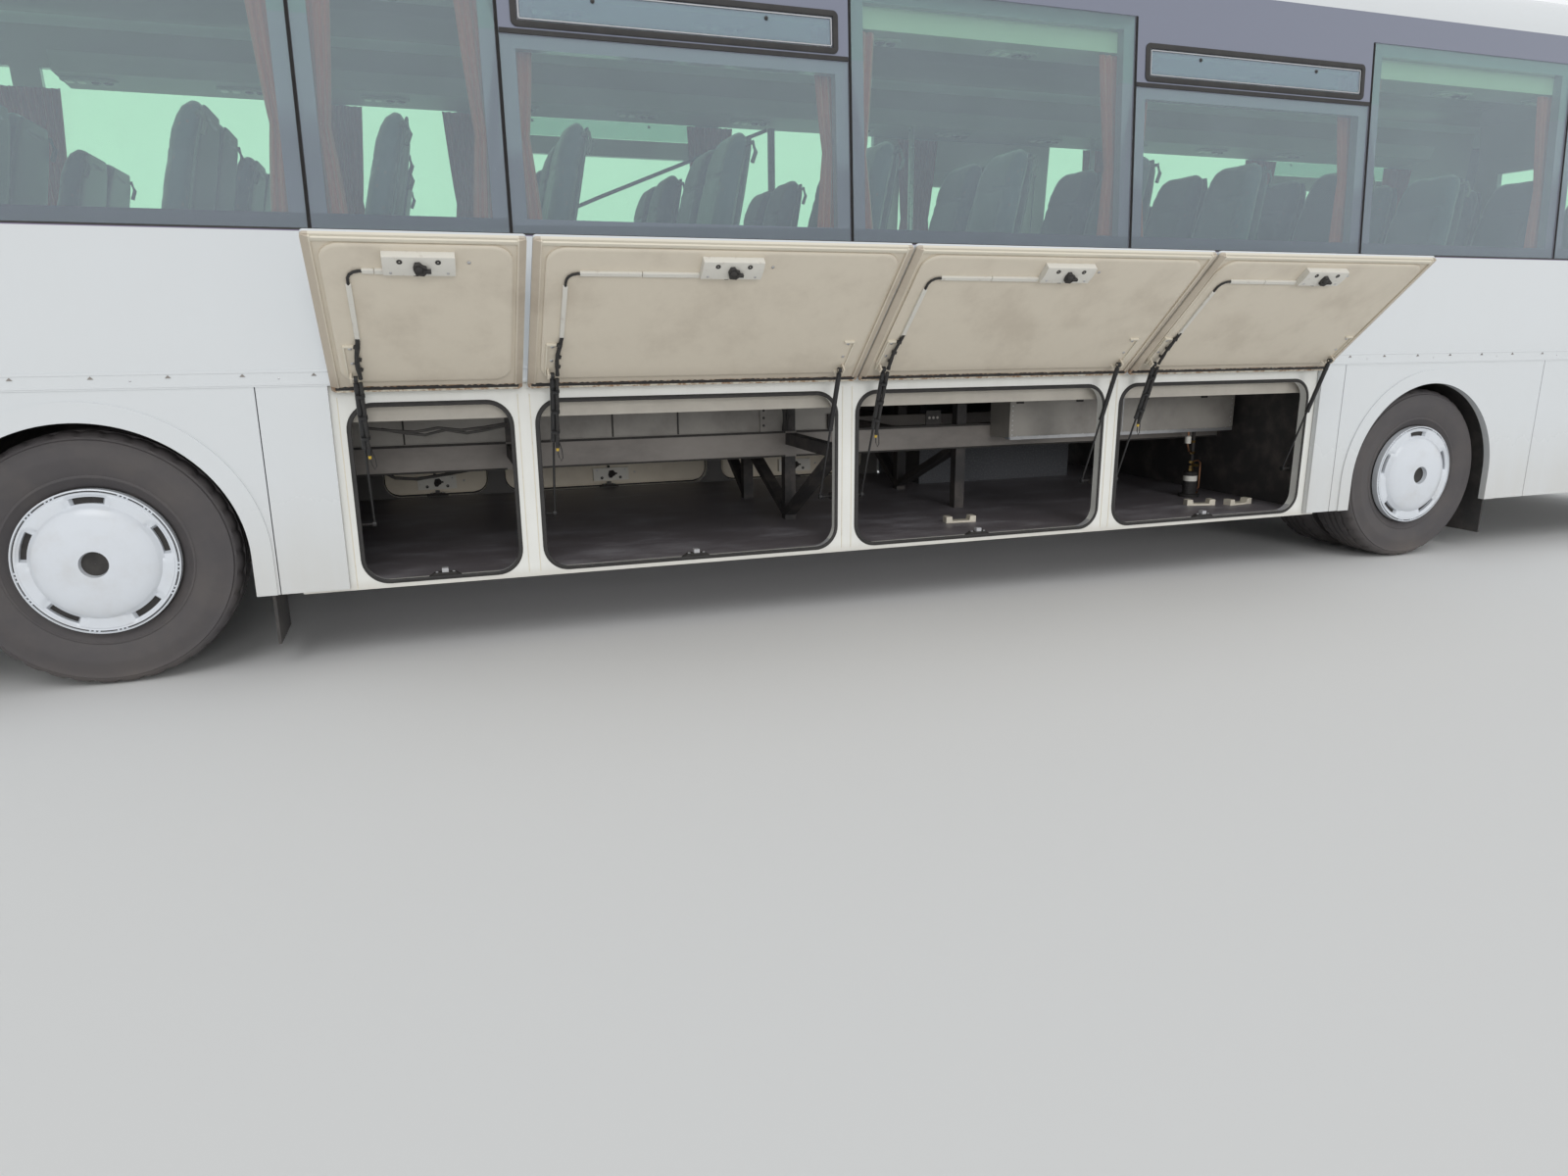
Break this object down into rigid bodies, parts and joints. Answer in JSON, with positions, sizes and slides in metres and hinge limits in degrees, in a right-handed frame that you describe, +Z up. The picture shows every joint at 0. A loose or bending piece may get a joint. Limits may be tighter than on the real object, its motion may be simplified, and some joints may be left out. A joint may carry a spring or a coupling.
{
  "type": "coach bus",
  "caption": "High-floor touring coach with through luggage bays, top-hinged lids on gas struts, seats behind tinted side glass, steered front wheels and twin rear wheels.",
  "frame": {"origin": "on the ground under the middle of the bounding box, which the open left lids put 0.178 m to the left of the coach's own mid-plane", "axes": "+X forward, +Y to the left, +Z up"},
  "size_m": [12.759, 3.3562, 3.2149],
  "materials": {
    "white_paint": "gloss white coach enamel",
    "lid_paint": "white outside, beige primer inside",
    "tinted_glass": "grey green tint",
    "clear_glass": "clear laminated",
    "door_paint": "gloss white coach enamel",
    "surround_paint": "white, dusty",
    "seal_rubber": "matt black",
    "lamp_clear": "clear lens",
    "lamp_red": "red lens",
    "bumper_paint": "painted plastic",
    "mirror_housing": "black",
    "floor_vinyl": "grey sheet floor",
    "frame_paint": "black underbody paint",
    "bay_board": "dark lining",
    "duct_beige": "beige moulding",
    "dryer_metal": "cast, dirty",
    "seat_fabric": "patterned plush",
    "dash_plastic": "moulded grey",
    "rack_plastic": "pale grey",
    "curtain_cloth": "red brown cloth",
    "housing_black": "sprayed black",
    "engine_iron": "cast",
    "axle_iron": "black painted",
    "tyre_rubber": "black",
    "wheel_cover": "gloss white cover",
    "strut_black": "gloss black tube",
    "rod_steel": "blackened rod",
    "bright_metal": "zinc plated",
    "brass_metal": "worn brass",
    "rail_paint": "dusty beige primer"
  },
  "bodies": {
    "coach": {"roof": "white_paint", "side_left": "white_paint", "side_right": "white_paint", "side_glass": "tinted_glass", "passenger_doors": "door_paint", "skirts": "white_paint", "bay_surround_left": "surround_paint", "bay_pillars_left": "surround_paint", "bay_surround_right": "surround_paint", "bay_seals": "seal_rubber", "strut_brackets": "surround_paint", "front_mask": "white_paint", "windscreen": "clear_glass", "headlamps": "lamp_clear", "front_bumper": "bumper_paint", "tail_lamps": "lamp_red", "rear_mask": "white_paint", "rear_window": "tinted_glass", "rear_bumper": "bumper_paint", "mirrors": "mirror_housing", "cabin_floor": "floor_vinyl", "chassis_rails": "rail_paint", "bay_frame": "frame_paint", "bay_floor": "bay_board", "duct_box": "duct_beige", "air_dryer": "dryer_metal", "seats": "seat_fabric", "dashboard": "dash_plastic", "racks": "rack_plastic", "curtains": "curtain_cloth", "wheel_housings": "housing_black", "engine": "engine_iron", "front_axle": "axle_iron", "rear_axle": "axle_iron"},
    "lid_left_1": {"lid_left_1": "lid_paint"},
    "lid_left_2": {"lid_left_2": "lid_paint"},
    "lid_left_3": {"lid_left_3": "lid_paint"},
    "lid_left_4": {"lid_left_4": "lid_paint"},
    "lid_right_1": {"lid_right_1": "lid_paint"},
    "lid_right_2": {"lid_right_2": "lid_paint"},
    "lid_right_3": {"lid_right_3": "lid_paint"},
    "strut_barrel_1": {"strut_barrel_1": "strut_black"},
    "strut_barrel_2": {"strut_barrel_2": "strut_black"},
    "strut_barrel_3": {"strut_barrel_3": "strut_black"},
    "strut_barrel_4": {"strut_barrel_4": "strut_black"},
    "strut_rod_1": {"strut_rod_1": "rod_steel"},
    "strut_rod_2": {"strut_rod_2": "rod_steel"},
    "strut_rod_3": {"strut_rod_3": "rod_steel"},
    "strut_rod_4": {"strut_rod_4": "rod_steel"},
    "engine_lid": {"engine_lid": "white_paint"},
    "knuckle_left": {"knuckle_left": "axle_iron"},
    "wheel_front_left": {"tyre_front_left": "tyre_rubber", "wheel_front_left": "wheel_cover"},
    "wheel_rear_left": {"tyre_rear_left": "tyre_rubber", "wheel_rear_left": "wheel_cover"},
    "knuckle_right": {"knuckle_right": "axle_iron"},
    "wheel_front_right": {"tyre_front_right": "tyre_rubber", "wheel_front_right": "wheel_cover"},
    "wheel_rear_right": {"tyre_rear_right": "tyre_rubber", "wheel_rear_right": "wheel_cover"}
  },
  "joints": [
    {"name": "lid_left_1_swing", "type": "hinge", "parent": "coach", "child": "lid_left_1", "pos_m": [2.3755, 1.07192, 1.122], "axis": [1, 0, 0], "range_deg": [-132.5, 0]},
    {"name": "strut_barrel_1_turn", "type": "hinge", "parent": "lid_left_1", "child": "strut_barrel_1", "pos_m": [2.3755, 1.20695, 1.16707], "axis": [1, 0, 0], "range_deg": [0, 148.35]},
    {"name": "strut_rod_1_slide", "type": "slide", "parent": "strut_barrel_1", "child": "strut_rod_1", "axis": [0, -0.3663, -0.9305], "range_m": [-0.21777, 0]},
    {"name": "lid_left_2_swing", "type": "hinge", "parent": "coach", "child": "lid_left_2", "pos_m": [1.265, 1.07192, 1.122], "axis": [1, 0, 0], "range_deg": [-132.5, 0]},
    {"name": "strut_barrel_2_turn", "type": "hinge", "parent": "lid_left_2", "child": "strut_barrel_2", "pos_m": [1.265, 1.20695, 1.16707], "axis": [1, 0, 0], "range_deg": [0, 148.35]},
    {"name": "strut_rod_2_slide", "type": "slide", "parent": "strut_barrel_2", "child": "strut_rod_2", "axis": [0, -0.3663, -0.9305], "range_m": [-0.21777, 0]},
    {"name": "lid_left_3_swing", "type": "hinge", "parent": "coach", "child": "lid_left_3", "pos_m": [-0.2025, 1.07192, 1.122], "axis": [1, 0, 0], "range_deg": [-132.5, 0]},
    {"name": "strut_barrel_3_turn", "type": "hinge", "parent": "lid_left_3", "child": "strut_barrel_3", "pos_m": [-0.2025, 1.20695, 1.16707], "axis": [1, 0, 0], "range_deg": [0, 148.35]},
    {"name": "strut_rod_3_slide", "type": "slide", "parent": "strut_barrel_3", "child": "strut_rod_3", "axis": [0, -0.3663, -0.9305], "range_m": [-0.21777, 0]},
    {"name": "lid_left_4_swing", "type": "hinge", "parent": "coach", "child": "lid_left_4", "pos_m": [-1.5825, 1.07192, 1.122], "axis": [1, 0, 0], "range_deg": [-132.5, 0]},
    {"name": "strut_barrel_4_turn", "type": "hinge", "parent": "lid_left_4", "child": "strut_barrel_4", "pos_m": [-1.5825, 1.20695, 1.16707], "axis": [1, 0, 0], "range_deg": [0, 148.35]},
    {"name": "strut_rod_4_slide", "type": "slide", "parent": "strut_barrel_4", "child": "strut_rod_4", "axis": [0, -0.3663, -0.9305], "range_m": [-0.21777, 0]},
    {"name": "lid_right_1_swing", "type": "hinge", "parent": "coach", "child": "lid_right_1", "pos_m": [2.3755, -1.42808, 1.122], "axis": [-1, 0, 0], "range_deg": [0, 132.5]},
    {"name": "lid_right_2_swing", "type": "hinge", "parent": "coach", "child": "lid_right_2", "pos_m": [1.265, -1.42808, 1.122], "axis": [-1, 0, 0], "range_deg": [0, 132.5]},
    {"name": "lid_right_3_swing", "type": "hinge", "parent": "coach", "child": "lid_right_3", "pos_m": [-0.0475, -1.42808, 1.122], "axis": [-1, 0, 0], "range_deg": [0, 132.5]},
    {"name": "engine_lid_swing", "type": "hinge", "parent": "coach", "child": "engine_lid", "pos_m": [-6.359, -0.17808, 1.5], "axis": [0, 1, 0], "range_deg": [0, 90]},
    {"name": "steer_left", "type": "hinge", "parent": "coach", "child": "knuckle_left", "pos_m": [3.63, 0.77192, 0.495], "axis": [0, 0, 1], "range_deg": [-40, 40]},
    {"name": "steer_right", "type": "hinge", "parent": "coach", "child": "knuckle_right", "pos_m": [3.63, -1.12808, 0.495], "axis": [0, 0, 1], "range_deg": [-40, 40]},
    {"name": "wheel_front_left_roll", "type": "hinge", "parent": "knuckle_left", "child": "wheel_front_left", "pos_m": [3.63, 0.87992, 0.495], "axis": [0, 1, 0], "continuous": true},
    {"name": "wheel_front_right_roll", "type": "hinge", "parent": "knuckle_right", "child": "wheel_front_right", "pos_m": [3.63, -1.23608, 0.495], "axis": [0, 1, 0], "continuous": true},
    {"name": "wheel_rear_left_roll", "type": "hinge", "parent": "coach", "child": "wheel_rear_left", "pos_m": [-3.07, 0.87992, 0.495], "axis": [0, 1, 0], "continuous": true},
    {"name": "wheel_rear_right_roll", "type": "hinge", "parent": "coach", "child": "wheel_rear_right", "pos_m": [-3.07, -1.23608, 0.495], "axis": [0, 1, 0], "continuous": true}
  ],
  "couplings": [
    {"joint": "strut_barrel_1_turn", "follows": "lid_left_1_swing", "ratio": -1.1193},
    {"joint": "strut_rod_1_slide", "follows": "lid_left_1_swing", "m_per_rad": 0.094083},
    {"joint": "strut_barrel_2_turn", "follows": "lid_left_2_swing", "ratio": -1.1193},
    {"joint": "strut_rod_2_slide", "follows": "lid_left_2_swing", "m_per_rad": 0.094083},
    {"joint": "strut_barrel_3_turn", "follows": "lid_left_3_swing", "ratio": -1.1193},
    {"joint": "strut_rod_3_slide", "follows": "lid_left_3_swing", "m_per_rad": 0.094083},
    {"joint": "strut_barrel_4_turn", "follows": "lid_left_4_swing", "ratio": -1.1193},
    {"joint": "strut_rod_4_slide", "follows": "lid_left_4_swing", "m_per_rad": 0.094083},
    {"joint": "steer_right", "follows": "steer_left", "ratio": 1}
  ]
}
